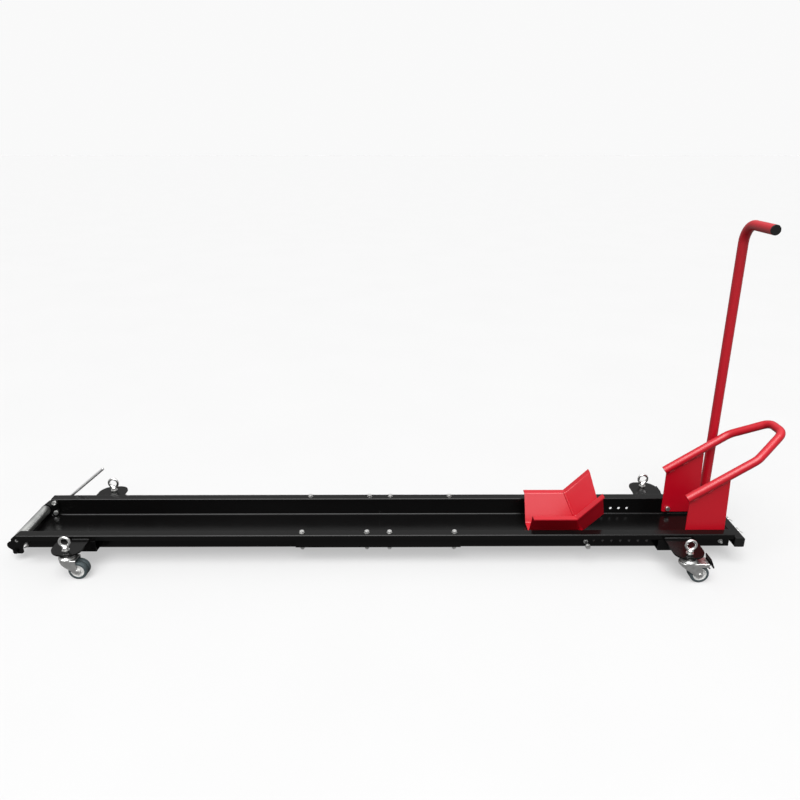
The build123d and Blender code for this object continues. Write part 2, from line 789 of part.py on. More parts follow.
# ---------------------------------------------------------------- caster forks, wheels, brakes
def fork(braked):
    """Pressed yoke: a top plate, round at the rear, whose skirt narrows to the axle."""
    nose = tongue_front if braked else cheek_front
    round_x = fork_rear_braked if braked else fork_rear
    round_x += fork_outer
    with BuildPart() as body:
        with BuildSketch(Plane.XY.offset(fork_top)):
            with BuildLine():
                Line((round_x, -fork_outer), (nose, -fork_outer))
                Line((nose, -fork_outer), (nose, fork_outer))
                Line((nose, fork_outer), (round_x, fork_outer))
                ThreePointArc((round_x, fork_outer), (round_x - fork_outer, 0), (round_x, -fork_outer))
            make_face()
        extrude(amount=-fork_top)
        rim = body.edges().group_by(Axis.Z)[-1].filter_by(Axis.Y, reverse=True)
        fillet(rim, fork_bend)
        with BuildSketch(Plane.XY.offset(fork_top - fork_sheet)):
            with BuildLine():
                Line((round_x, -fork_inner), (nose, -fork_inner))
                Line((nose, -fork_inner), (nose, fork_inner))
                Line((nose, fork_inner), (round_x, fork_inner))
                ThreePointArc((round_x, fork_inner), (round_x - fork_inner, 0), (round_x, -fork_inner))
            make_face()
        extrude(amount=-fork_top, mode=Mode.SUBTRACT)
        with BuildSketch(Plane.XZ.offset(-fork_outer)):
            with BuildLine():
                Polyline((cheek_front, fork_top), (round_x - fork_outer, fork_top),
                         (round_x - fork_outer, skirt_bottom), (cheek_front, skirt_bottom))
                CenterArc((caster_trail, wheel_r), cheek_end_r, 0, 360)
            make_hull()
            if braked:
                with Locations((0, fork_top)):
                    Rectangle(nose, tongue_high, align=(Align.MIN, Align.MAX))
                with Locations((pedal_pin_x, pedal_pin_z)):
                    Circle(pedal_boss_r + 2.0)
                    Circle(pedal_pin_r, mode=Mode.SUBTRACT)
            with Locations((caster_trail, wheel_r)):
                Circle(axle_r, mode=Mode.SUBTRACT)
        extrude(amount=2 * fork_outer, mode=Mode.INTERSECT)
        with BuildSketch(Plane.XY.offset(fork_top - fork_sheet)):
            Circle(bolt_r + 0.05)
        extrude(amount=fork_sheet, mode=Mode.SUBTRACT)
    return body.part


wheel_plane = Plane(origin=(caster_trail, 0, wheel_r), x_dir=(0, 1, 0), z_dir=(-1, 0, 0))
wheel_axis = Axis((caster_trail, 0, wheel_r), (0, 1, 0))

with BuildPart() as hub:
    with BuildSketch(wheel_plane):
        with BuildLine():
            Polyline(
                (-17.8, axle_r + 0.05), (-17.8, 8.0), (-12.0, 8.5), (-12.0, 16.5), (-16.0, 17.5),
                (-16.0, hub_r), (16.0, hub_r), (16.0, 17.5), (12.0, 16.5), (12.0, 8.5),
                (17.8, 8.0), (17.8, axle_r + 0.05), (-17.8, axle_r + 0.05),
            )
        make_face()
    revolve(axis=wheel_axis)

with BuildPart() as tyres:
    for start in (-16.5, 2.0):
        with BuildSketch(wheel_plane):
            with BuildLine():
                FilletPolyline(
                    (start, hub_r),
                    (start, wheel_r),
                    (start + 14.5, wheel_r),
                    (start + 14.5, hub_r),
                    radius=(0, 3.0, 3.0, 0),
                    close=True,
                )
            make_face()
        revolve(axis=wheel_axis)

with BuildPart() as axle:
    with BuildSketch(Plane.XZ.offset(-fork_outer)):
        with Locations((caster_trail, wheel_r)):
            Circle(axle_r)
    extrude(amount=2 * fork_outer)
    for start in (-fork_outer - 2.0, fork_outer):
        with BuildSketch(Plane.XZ.offset(start)):
            with Locations((caster_trail, wheel_r)):
                Circle(6.0)
        extrude(amount=2.0)
    fillet(axle.faces().filter_by(Axis.Y).sort_by(Axis.Y)[0].edges(), 1.2)
    fillet(axle.faces().filter_by(Axis.Y).sort_by(Axis.Y)[-1].edges(), 1.2)

# the pedal's blade leans out from the fork, and its shoe faces the tyre
shoe_angle = radians(45.0)
shoe_gap_r = wheel_r + 4.2
shoe_spot = (
    caster_trail + shoe_gap_r * cos(shoe_angle),
    wheel_r + shoe_gap_r * sin(shoe_angle),
)
with BuildPart() as brake_pedal:
    with BuildSketch(Plane.XZ.offset(-17.5)):
        with BuildLine():
            FilletPolyline(
                (55.6, 81.0), (59.4, 81.0), (72.0, 51.5), (68.5, 49.5), (61.2, 62.5), (58.2, 64.0),
                radius=(1.5, 1.5, 1.0, 1.0, 2.0, 0),
                close=True,
            )
        make_face()
        with BuildLine():
            Polyline((46.0, 63.2), (56.0, 63.9), (60.0, 66.0), (60.5, 61.0), (48.0, 56.5), (46.0, 63.2))
        make_face()
        with Locations(Location((*shoe_spot, 0), degrees(shoe_angle))):
            Rectangle(3.5, 9.0, align=(Align.MIN, Align.CENTER))
        with BuildLine():
            Polyline((48.0, 57.5), (53.5, 60.5), (58.5, 52.0), (55.0, 49.5), (48.0, 57.5))
        make_face()
        with Locations((pedal_pin_x, pedal_pin_z)):
            Circle(pedal_boss_r)
            Circle(pedal_pin_r + 0.05, mode=Mode.SUBTRACT)
    extrude(amount=35.0)

with BuildPart() as pedal_pin:
    with BuildSketch(Plane.XZ.offset(-fork_outer)):
        with Locations((pedal_pin_x, pedal_pin_z)):
            Circle(pedal_pin_r)
    extrude(amount=2 * fork_outer)
    for start in (-fork_outer - 1.5, fork_outer):
        with BuildSketch(Plane.XZ.offset(start)):
            with Locations((pedal_pin_x, pedal_pin_z)):
                Circle(4.0)
        extrude(amount=1.5)

plain_fork = fork(False)
brake_fork = fork(True)

for name, eye_x, eye_y, _, braked in casters:
    spot = Location((eye_x, eye_y, 0))
    yoke = brake_fork if braked else plain_fork
    save(yoke.moved(spot), f"caster_fork_{name}")
    save(hub.part.moved(spot), f"caster_hub_{name}")
    save(tyres.part.moved(spot), f"caster_tyres_{name}")
    save(axle.part.moved(spot), f"caster_axle_{name}")
    if braked:
        save(brake_pedal.part.moved(spot), f"brake_pedal_{name}")
        save(pedal_pin.part.moved(spot), f"pedal_pin_{name}")
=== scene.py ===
"""Looks for the motorcycle dolly: materials, fasteners, wheels, welds, studio and camera."""
import json
import math
import random

import bmesh
import bpy
from mathutils import Matrix, Vector
from mathutils.bvhtree import BVHTree


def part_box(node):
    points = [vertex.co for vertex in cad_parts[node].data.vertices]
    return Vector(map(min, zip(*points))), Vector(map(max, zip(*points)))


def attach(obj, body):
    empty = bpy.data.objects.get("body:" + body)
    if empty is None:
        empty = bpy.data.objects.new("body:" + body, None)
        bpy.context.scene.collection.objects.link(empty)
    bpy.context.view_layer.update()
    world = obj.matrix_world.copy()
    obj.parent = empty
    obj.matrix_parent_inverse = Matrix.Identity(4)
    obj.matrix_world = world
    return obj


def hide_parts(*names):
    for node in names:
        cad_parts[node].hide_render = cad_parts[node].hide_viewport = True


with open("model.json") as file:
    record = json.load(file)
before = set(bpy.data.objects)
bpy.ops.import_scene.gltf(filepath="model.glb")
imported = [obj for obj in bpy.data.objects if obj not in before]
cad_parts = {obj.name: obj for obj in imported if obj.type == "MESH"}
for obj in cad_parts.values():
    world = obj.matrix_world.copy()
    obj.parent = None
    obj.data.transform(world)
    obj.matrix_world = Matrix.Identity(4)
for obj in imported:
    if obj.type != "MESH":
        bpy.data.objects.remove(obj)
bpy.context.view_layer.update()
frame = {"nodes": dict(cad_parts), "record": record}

MM = 0.001
SPOTS = ("rear_right", "rear_left", "front_right", "front_left")
NODES = frame["nodes"]
BODY_OF = {node: body
           for body, nodes in frame["record"]["behaviour"]["bodies"].items() for node in nodes}
SLOT_OF = {part["node"]: part["material_slot"] for part in frame["record"]["subparts"]}


# ---------------------------------------------------------------- shader building
class Shader:
    """A node material put together around one Principled BSDF, in metres."""

    def __init__(self, name, color, roughness, metallic=0.0, specular=0.5):
        self.material = bpy.data.materials.new(name)
        self.material.use_nodes = True
        self.nodes = self.material.node_tree.nodes
        self.links = self.material.node_tree.links
        self.surface = self.nodes["Principled BSDF"]
        self.place = self.nodes.new("ShaderNodeTexCoord").outputs["Object"]
        self.surface.inputs["Base Color"].default_value = (*color, 1.0)
        self.surface.inputs["Roughness"].default_value = roughness
        self.surface.inputs["Metallic"].default_value = metallic
        self.surface.inputs["Specular IOR Level"].default_value = specular

    def noise(self, scale, detail=2.0, stretch=(1.0, 1.0, 1.0)):
        """Noise with about `scale` features per metre, stretched along the axes."""
        mapping = self.nodes.new("ShaderNodeMapping")
        mapping.inputs["Scale"].default_value = stretch
        texture = self.nodes.new("ShaderNodeTexNoise")
        texture.inputs["Scale"].default_value = scale
        texture.inputs["Detail"].default_value = detail
        self.links.new(self.place, mapping.inputs["Vector"])
        self.links.new(mapping.outputs["Vector"], texture.inputs["Vector"])
        return texture.outputs["Fac"]

    def level(self, source, low, high, start=0.3, stop=0.7):
        """source between start and stop, mapped to low and high."""
        mapped = self.nodes.new("ShaderNodeMapRange")
        for name, value in zip(("From Min", "From Max", "To Min", "To Max"), (start, stop, low, high)):
            mapped.inputs[name].default_value = value
        self.links.new(source, mapped.inputs["Value"])
        return mapped.outputs["Result"]

    def blend(self, source, first, second):
        """A colour between first and second, by source."""
        mixed = self.nodes.new("ShaderNodeMix")
        mixed.data_type = "RGBA"
        mixed.inputs["A"].default_value = (*first, 1.0)
        mixed.inputs["B"].default_value = (*second, 1.0)
        self.links.new(source, mixed.inputs["Factor"])
        return mixed.outputs["Result"]

    def color(self, source, first, second):
        self.links.new(self.blend(source, first, second), self.surface.inputs["Base Color"])

    def roughness(self, source, low, high):
        self.links.new(self.level(source, low, high), self.surface.inputs["Roughness"])

    def bump(self, source, height, strength=1.0):
        """Surface relief of the given height in metres, added to any relief before it."""
        relief = self.nodes.new("ShaderNodeBump")
        relief.inputs["Distance"].default_value = height
        relief.inputs["Strength"].default_value = strength
        target = self.surface.inputs["Normal"]
        if target.is_linked:
            self.links.new(target.links[0].from_socket, relief.inputs["Normal"])
        self.links.new(source, relief.inputs["Height"])
        self.links.new(relief.outputs["Normal"], target)


def powder_coat(name, color, deep, roughness, specular, peel=0.00003):
    """Gloss powder coat: orange peel, faint unevenness of colour, handling marks in the gloss."""
    coat = Shader(name, color, roughness, specular=specular)
    coat.color(coat.level(coat.noise(5.0, 2.0), 0.0, 1.0), deep, color)
    coat.roughness(coat.noise(24.0, 5.0), roughness * 0.92, roughness * 1.12)
    coat.bump(coat.noise(420.0, 1.0), peel)
    return coat.material


def zinc_plate(name, color, deep, roughness, grain=900.0):
    """Plated steel: cloudy spangle, fine grain and a slightly uneven gloss."""
    plate = Shader(name, color, roughness, metallic=1.0)
    plate.color(plate.level(plate.noise(55.0, 5.0), 0.0, 1.0), deep, color)
    plate.roughness(plate.noise(120.0, 3.0), roughness * 0.75, roughness * 1.3)
    plate.bump(plate.noise(grain, 3.0), 0.00002, 0.6)
    return plate.material


def brushed_steel():
    """Drawn tube of the roller: fine lines round it and scuffs from tyres."""
    steel = Shader("roller_steel", (0.62, 0.63, 0.61), 0.34, metallic=1.0)
    steel.color(steel.level(steel.noise(30.0, 5.0), 0.0, 1.0), (0.46, 0.47, 0.46), (0.66, 0.67, 0.65))
    steel.roughness(steel.noise(60.0, 5.0, stretch=(1.0, 14.0, 1.0)), 0.24, 0.46)
    steel.bump(steel.noise(90.0, 3.0, stretch=(1.0, 30.0, 1.0)), 0.00003, 0.5)
    return steel.material


def moulded(name, color, deep, roughness, grain, height):
    """Moulded plastic or rubber with a fine skin texture."""
    skin = Shader(name, color, roughness, specular=0.3)
    skin.color(skin.level(skin.noise(70.0, 4.0), 0.0, 1.0), deep, color)
    skin.roughness(skin.noise(200.0, 3.0), roughness * 0.85, min(1.0, roughness * 1.2))
    skin.bump(skin.noise(grain, 4.0), height, 0.7)
    return skin.material


MATERIALS = {
    "black_powder_coat": powder_coat("black_powder_coat", (0.0022, 0.0021, 0.0021),
                                     (0.0016, 0.0015, 0.0015), 0.2, 0.2),
    "red_powder_coat": powder_coat("red_powder_coat", (0.38, 0.0006, 0.009),
                                   (0.365, 0.0005, 0.008), 0.34, 0.54),
    "zinc_plate": zinc_plate("zinc_plate", (0.68, 0.68, 0.67), (0.54, 0.54, 0.53), 0.4),
    "polished_zinc": zinc_plate("polished_zinc", (0.86, 0.86, 0.85), (0.76, 0.76, 0.75), 0.17, 500.0),
    "chrome": zinc_plate("chrome", (0.97, 0.97, 0.97), (0.93, 0.93, 0.93), 0.3, 300.0),
    "bearing_steel": zinc_plate("bearing_steel", (0.7, 0.7, 0.7), (0.62, 0.62, 0.62), 0.12),
    "roller_steel": brushed_steel(),
    "grey_tyre": moulded("grey_tyre", (0.052, 0.066, 0.07), (0.04, 0.052, 0.056),
                         0.55, 1400.0, 0.00006),
    "hub_plastic": moulded("hub_plastic", (0.6, 0.6, 0.59), (0.52, 0.52, 0.51),
                           0.42, 900.0, 0.00003),
    "black_plastic": moulded("black_plastic", (0.006, 0.006, 0.006), (0.004, 0.004, 0.004),
                             0.4, 1500.0, 0.00004),
}


def finish(piece, slot):
    """Give a piece the one material of its slot."""
    piece.data.materials.clear()
    piece.data.materials.append(MATERIALS[slot])


# ---------------------------------------------------------------- CAD nodes that stay
def soften(node, width):
    """Small rounds on the sharp edges of a CAD node, with clean shading on its flats."""
    piece = NODES[node]
    weld = piece.modifiers.new("join_points", "WELD")
    weld.merge_threshold = 0.002 * MM
    flats = piece.modifiers.new("whole_flats", "DECIMATE")
    flats.decimate_type = "DISSOLVE"
    flats.angle_limit = math.radians(0.3)
    bevel = piece.modifiers.new("edge_rounds", "BEVEL")
    bevel.width = width
    bevel.segments = 2
    bevel.limit_method = "ANGLE"
    bevel.angle_limit = math.radians(38.0)
    bevel.use_clamp_overlap = True
    smooth = piece.modifiers.new("clean_shading", "WEIGHTED_NORMAL")
    smooth.keep_sharp = True
    smooth.weight = 80


SOFTENED = {  # width of the rounds on each node's edges, in mm
    "wheel_cradle": 0.8, "chock_plate_right": 0.7, "chock_plate_left": 0.7, "splice_bar_right": 0.5,
    "splice_bar_left": 0.5, "end_bracket_right": 0.5, "end_bracket_left": 0.5, "end_cross_tube": 0.5,
    "foot_arms": 0.5, "lever_hub": 0.4, "stem_washers": 0.2, "m8_washers": 0.2,
}
for spot in SPOTS:
    SOFTENED["outrigger_" + spot] = 0.6
    SOFTENED["caster_fork_" + spot] = 0.25
    if "brake_pedal_" + spot in NODES:
        SOFTENED["brake_pedal_" + spot] = 0.5

for node, piece in NODES.items():
    finish(piece, SLOT_OF[node])
    if node in SOFTENED:
        soften(node, SOFTENED[node] * MM)


# ---------------------------------------------------------------- mesh helpers
def piece_from(bm, name, body, slot, sharp=35.0):
    """A shaded mesh object from bm that rides on body."""
    bmesh.ops.recalc_face_normals(bm, faces=bm.faces)
    mesh = bpy.data.meshes.new(name)
    bm.to_mesh(mesh)
    bm.free()
    mesh.shade_smooth()
    mesh.set_sharp_from_angle(angle=math.radians(sharp))
    piece = bpy.data.objects.new(name, mesh)
    bpy.context.scene.collection.objects.link(piece)
    finish(piece, slot)
    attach(piece, body)
    return piece


def rings(bm, loops, closed=False):
    """Faces between consecutive loops of points; a one-point loop closes an end."""
    made = [[bm.verts.new(point) for point in loop] for loop in loops]
    pairs = list(zip(made, made[1:]))
    if closed:
        pairs.append((made[-1], made[0]))
    for first, second in pairs:
        count = max(len(first), len(second))
        for i in range(count):
            j = (i + 1) % count
            if len(first) == 1:
                bm.faces.new((first[0], second[i], second[j]))
            elif len(second) == 1:
                bm.faces.new((first[i], second[0], first[j]))
            else:
                bm.faces.new((first[i], second[i], second[j], first[j]))


def circle(radius, z, count=48):
    if radius == 0:
        return [Vector((0, 0, z))]
    turn = 2 * math.pi / count
    return [Vector((radius * math.cos(i * turn), radius * math.sin(i * turn), z)) for i in range(count)]


def islands(node):
    """Every separate solid of a CAD node, as a list of its corner points."""
    mesh = NODES[node].data
    leader = {}

    def root(key):
        while leader[key] != key:
            leader[key] = leader[leader[key]]
            key = leader[key]
        return key

    keys = [tuple(round(c, 5) for c in v.co) for v in mesh.vertices]
    for key in keys:
        leader.setdefault(key, key)
    for polygon in mesh.polygons:
        corners = [root(keys[i]) for i in polygon.vertices]
        for corner in corners[1:]:
            leader[root(corner)] = root(corners[0])
    groups = {}
    for key in leader:
        groups.setdefault(root(key), []).append(Vector(key))
    return [groups[key] for key in sorted(groups)]


def corners_of(points):
    low = Vector([min(p[i] for p in points) for i in range(3)])
    high = Vector([max(p[i] for p in points) for i in range(3)])
    return low, high


def stand(direction, origin):
    """Matrix that puts local +Z along direction at origin."""
    return Matrix.Translation(origin) @ Vector(direction).to_track_quat("Z", "Y").to_matrix().to_4x4()


# ---------------------------------------------------------------- fasteners
FLATS = 13.0 * MM
SHANK_R = 4.0 * MM
INNER_R = SHANK_R - 0.01 * MM  # the drawn shank, a hair inside the hole it fills
PITCH = 1.25 * MM
THREAD_DEPTH = 0.62 * MM
HEAD = 5.3 * MM
HEX_COUNT = 48
SHANK_COUNT = 24


def hexagon(z, chamfer_r=None):
    """Hexagon outline at z; with chamfer_r its corners dip by a 30 degree cone."""
    loop = []
    for i in range(HEX_COUNT):
        angle = 2 * math.pi * i / HEX_COUNT
        off = (angle + math.pi / 6) % (math.pi / 3) - math.pi / 6
        radius = FLATS / 2 / math.cos(off)
        dip = 0.0 if chamfer_r is None else max(0.0, radius - chamfer_r) * math.tan(math.radians(30.0))
        loop.append(Vector((radius * math.cos(angle), radius * math.sin(angle), z - dip)))
    return loop


def thread_loops(start, stop):
    """Loops down a screw thread from z = start to z = stop."""
    steps = max(2, int(abs(stop - start) / PITCH * 4))
    loops = []
    for step in range(steps + 1):
        z = start + (stop - start) * step / steps
        loop = []
        for i in range(SHANK_COUNT):
            angle = 2 * math.pi * i / SHANK_COUNT
            phase = (z / PITCH - i / SHANK_COUNT) % 1.0
            fade = min(1.0, step / 4, (steps - step) / 3)
            radius = INNER_R - THREAD_DEPTH * fade * (1.0 - abs(2 * phase - 1.0))
            loop.append(Vector((radius * math.cos(angle), radius * math.sin(angle), z)))
        loops.append(loop)
    return loops


def bolt_loops(reach, threaded):
    """Head and shank of a hex bolt along +Z: seat at z = 0, the shank's end at -reach."""
    cone_r = FLATS / 2 * 0.95
    head_loops = [
        circle(0, HEAD - 0.25 * MM, HEX_COUNT),
        circle(cone_r * 0.72, HEAD - 0.25 * MM, HEX_COUNT),
        circle(cone_r * 0.82, HEAD, HEX_COUNT),
        circle(cone_r, HEAD, HEX_COUNT),
        hexagon(HEAD, cone_r),
        hexagon(0.5 * MM),
        circle(FLATS / 2 * 0.97, 0.4 * MM, HEX_COUNT),
        circle(FLATS / 2 * 0.95, 0.0, HEX_COUNT),
        circle(0, 0.0, HEX_COUNT),
    ]
    neck = threaded - reach
    shank = [circle(0, 0.1 * MM, SHANK_COUNT), circle(INNER_R, 0.1 * MM, SHANK_COUNT)]
    if neck < -1.0 * MM:
        shank.append(circle(INNER_R, neck, SHANK_COUNT))
    shank += thread_loops(min(neck, -0.5 * MM), -reach + 0.8 * MM)
    shank += [circle(SHANK_R - 0.8 * MM, -reach, SHANK_COUNT), circle(0, -reach, SHANK_COUNT)]
    return head_loops, shank


def bolts(node, threaded, name):
    """Replace the bolts of a CAD node by ones with chamfered heads and real threads."""
    bm = bmesh.new()
    for points in islands(node):
        low, high = corners_of(points)
        size = high - low
        axis = max(range(3), key=lambda i: size[i])
        middle = (low + high) / 2
        wide = [max(abs(p[i] - middle[i]) for i in range(3) if i != axis) > SHANK_R * 1.3
                for p in points]
        at_high = sum(p[axis] > middle[axis] for p, big in zip(points, wide) if big)
        sign = 1.0 if at_high * 2 > sum(wide) else -1.0
        direction = Vector([sign if i == axis else 0.0 for i in range(3)])
        seat = middle.copy()
        seat[axis] = (high if sign > 0 else low)[axis] - sign * HEAD
        start = len(bm.verts)
        for loops in bolt_loops(size[axis] - HEAD, threaded):
            rings(bm, loops)
        bm.verts.ensure_lookup_table()
        place = stand(direction, seat)
        bmesh.ops.transform(bm, matrix=place, verts=bm.verts[start:])
    piece = piece_from(bm, name, BODY_OF[node], SLOT_OF[node])
    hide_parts(node)


def nut_loops(height):
    """A hex nut on z = 0 with chamfered corners and a countersunk bore."""
    bore = SHANK_R
    cone_r = FLATS / 2 * 0.96
    return [
        circle(bore, height - 0.5 * MM, HEX_COUNT),
        circle(bore + 0.5 * MM, height, HEX_COUNT),
        circle(cone_r, height, HEX_COUNT),
        hexagon(height, cone_r),
        [Vector((p.x, p.y, height - p.z)) for p in hexagon(height, cone_r)],
        circle(cone_r, 0.0, HEX_COUNT),
        circle(bore + 0.5 * MM, 0.0, HEX_COUNT),
        circle(bore, 0.5 * MM, HEX_COUNT),
    ]


def nuts(node, name):
    """Replace the nuts of a CAD node by chamfered ones."""
    bm = bmesh.new()
    for points in islands(node):
        low, high = corners_of(points)
        size = high - low
        axis = min(range(3), key=lambda i: size[i])
        direction = Vector([1.0 if i == axis else 0.0 for i in range(3)])
        seat = (low + high) / 2
        seat[axis] = low[axis]
        start = len(bm.verts)
        rings(bm, nut_loops(size[axis]), closed=True)
        bm.verts.ensure_lookup_table()
        place = stand(direction, seat)
        if axis == 1:
            place = place @ Matrix.Rotation(math.radians(30.0), 4, "Z")
        bmesh.ops.transform(bm, matrix=place, verts=bm.verts[start:])
    piece = piece_from(bm, name, BODY_OF[node], SLOT_OF[node])
    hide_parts(node)


bolts("splice_bolts", 24.0 * MM, "splice_bolts_threaded")
bolts("side_bolts", 18.0 * MM, "side_bolts_threaded")
bolts("cradle_bolt", 30.0 * MM, "cradle_bolt_threaded")
nuts("m8_nuts", "m8_nuts_chamfered")
nuts("stem_nuts", "stem_nuts_chamfered")


# ---------------------------------------------------------------- caster wheels
TREAD_GAP = 4.0 * MM  # between the two tread bands of a twin wheel


def turned(bm, profile):
    """Add the solid of revolution about +Z with this closed profile of (z, r) points."""
    rings(bm, [circle(r, z, 96) for z, r in profile], closed=True)


def arc(center, radius, start, stop, steps=6):
    """(z, r) points along an arc; angles in degrees from +z towards +r."""
    spots = []
    for step in range(steps + 1):
        angle = math.radians(start + (stop - start) * step / steps)
        spots.append((center[0] + radius * math.cos(angle), center[1] + radius * math.sin(angle)))
    return spots


def tyre_profile(start, wide, inner_r, outer_r):
    """One tread band: rounded shoulders, a fine centre line, a step in each side wall."""
    round_r = 3.0 * MM
    stop = start + wide
    middle = (start + stop) / 2
    crown = 0.12 * MM
    profile = [(start + 1.0 * MM, inner_r), (start, inner_r + 0.6 * MM), (start, inner_r + 1.4 * MM)]
    profile += arc((start + round_r, outer_r - round_r - crown), round_r, 180.0, 97.0)
    profile += [(middle - 0.35 * MM, outer_r), (middle, outer_r - 0.16 * MM),
                (middle + 0.35 * MM, outer_r)]
    profile += arc((stop - round_r, outer_r - round_r - crown), round_r, 83.0, 0.0)
    profile += [(stop, inner_r + 1.4 * MM), (stop, inner_r + 0.6 * MM), (stop - 1.0 * MM, inner_r)]
    return profile


def wheel(spot):
    """Replace the tyres and the hub of one caster wheel."""
    hub_low, hub_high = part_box("caster_hub_" + spot)
    tyre_low, tyre_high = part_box("caster_tyres_" + spot)
    center = (tyre_low + tyre_high) / 2
    place = stand((0, 1, 0), center)
    outer_r = (tyre_high.x - tyre_low.x) / 2
    hub_r = (hub_high.x - hub_low.x) / 2
    half = (tyre_high.y - tyre_low.y) / 2
    bm = bmesh.new()
    for start in (-half, TREAD_GAP / 2):
        turned(bm, tyre_profile(start, half - TREAD_GAP / 2, hub_r, outer_r))
    bmesh.ops.transform(bm, matrix=place, verts=bm.verts)
    tyre = piece_from(bm, "tyre_" + spot, "wheel_" + spot, "grey_tyre")
    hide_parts("caster_tyres_" + spot)
    boss = (hub_high.y - hub_low.y) / 2
    rim = half - 0.5 * MM
    bore = 4.05 * MM
    side = [
        (bore, boss), (7.4 * MM, boss), (8.0 * MM, boss - 0.6 * MM), (8.4 * MM, 13.0 * MM),
        (9.4 * MM, 12.0 * MM), (16.2 * MM, 12.0 * MM), (17.0 * MM, 12.8 * MM),
        (17.3 * MM, rim - 0.5 * MM), (17.8 * MM, rim),
        (hub_r - 0.5 * MM, rim), (hub_r - 0.02 * MM, rim - 0.5 * MM),
    ]
    bm = bmesh.new()
    turned(bm, [(z, r) for r, z in side] + [(-z, r) for r, z in reversed(side)])
    bmesh.ops.transform(bm, matrix=place, verts=bm.verts)
    hub = piece_from(bm, "hub_" + spot, "wheel_" + spot, "hub_plastic")
    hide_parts("caster_hub_" + spot)


for spot in SPOTS:
    wheel(spot)


# ---------------------------------------------------------------- tie-down eyes
def applied(piece):
    """Bake a piece's modifiers into its mesh."""
    bpy.context.view_layer.update()
    graph = bpy.context.evaluated_depsgraph_get()
    mesh = bpy.data.meshes.new_from_object(piece.evaluated_get(graph))
    piece.modifiers.clear()
    piece.data = mesh


def eye_nut_mesh(height):
    """Forged ring on a flared collar, with the ring standing in the XZ plane."""
    ring_r = 15.0 * MM
    wire_r = 4.2 * MM
    bm = bmesh.new()
    torus = []
    for i in range(64):
        around = 2 * math.pi * i / 64
        thick = wire_r * (1.0 + 0.10 * max(0.0, -math.cos(around)))
        loop = []
        for j in range(20):
            inner = 2 * math.pi * j / 20
            reach = ring_r + thick * math.cos(inner) * 0.98
            loop.append(Vector((reach * math.sin(around), thick * math.sin(inner),
                                height - ring_r - wire_r + reach * math.cos(around))))
        torus.append(loop)
    rings(bm, torus, closed=True)
    collar = [(0.0, 0.0), (9.2, 0.0), (9.9, 0.7), (9.9, 2.4), (9.2, 3.2), (7.6, 4.6), (6.2, 6.4),
              (5.2, 8.0), (0.0, 8.0)]  # (r, z) in mm
    rings(bm, [circle(r * MM, z * MM, 48) for r, z in collar])
    mesh = bpy.data.meshes.new("eye_nut")
    bm.to_mesh(mesh)
    bm.free()
    return mesh


def eye_nuts():
    """Replace the eye nuts by forged ones, whose ring flows into the collar."""
    for index, points in enumerate(islands("eye_nuts")):
        low, high = corners_of(points)
        piece = bpy.data.objects.new(f"eye_nut_{index + 1}", eye_nut_mesh(high.z - low.z))
        bpy.context.scene.collection.objects.link(piece)
        remesh = piece.modifiers.new("forge", "REMESH")
        remesh.mode = "VOXEL"
        remesh.voxel_size = 0.55 * MM
        smooth = piece.modifiers.new("flow", "CORRECTIVE_SMOOTH")
        smooth.factor = 0.6
        smooth.iterations = 6
        smooth.use_only_smooth = True
        applied(piece)
        piece.data.shade_smooth()
        base = ((low.x + high.x) / 2, (low.y + high.y) / 2, low.z)
        piece.data.transform(Matrix.Translation(base))
        finish(piece, "polished_zinc")
        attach(piece, BODY_OF["eye_nuts"])
        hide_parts("eye_nuts")


eye_nuts()


# ---------------------------------------------------------------- weld beads
WELD_STEP = 0.45 * MM  # between the loops of a bead


def weld(name, points, ups, body, slot, wide=5.0 * MM, high=1.5 * MM, closed=False):
    """Rippled bead along closely spaced points; it stands proud along ups."""
    chance = random.Random(name)
    pitch = 2.2 * MM
    reach = [0.0]
    for first, second in zip(points, points[1:]):
        reach.append(reach[-1] + (second - first).length)
    length = reach[-1]
    wander = [chance.uniform(-0.5, 0.5) for _ in range(int(length / pitch) + 3)]
    count = 12
    loops = []
    for k, (point, up, t) in enumerate(zip(points, ups, reach)):
        before = points[k - 1] if k or closed else point
        after = points[(k + 1) % len(points)] if k + 1 < len(points) or closed else point
        along = (after - before).normalized()
        up = (up - along * up.dot(along)).normalized()
        side = along.cross(up)
        end = min(t, length - t) / (wide * 0.45)
        taper = 1.0 if closed else math.sqrt(min(1.0, max(0.0, end)))
        cell = t / pitch
        jitter = wander[int(cell)] * (1 - cell % 1) + wander[int(cell) + 1] * (cell % 1)
        loop = []
        for i in range(count):
            angle = 2 * math.pi * i / count
            across = math.cos(angle)
            swell = 0.84 + 0.28 * math.sin(math.pi * ((cell + 0.45 * across * across) % 1.0))
            lift = math.sin(angle) * high * taper * swell * (1 + 0.2 * jitter)
            spread = across * wide / 2 * taper * (0.9 + 0.1 * swell) + jitter * 0.3 * MM * taper
            loop.append(point + side * spread + up * lift)
        loops.append(loop)
    if not closed:
        loops = [[points[0]]] + loops[1:-1] + [[points[-1]]]
    bm = bmesh.new()
    rings(bm, loops, closed=closed)
    piece_from(bm, name, body, slot, sharp=180.0)


def straight_weld(name, start, stop, up, body, slot, **shape):
    """Bead from start to stop that stands proud along up."""
    start, stop = Vector(start), Vector(stop)
    steps = int((stop - start).length / WELD_STEP)
    points = [start.lerp(stop, k / steps) for k in range(steps + 1)]
    weld(name, points, [Vector(up)] * len(points), body, slot, **shape)


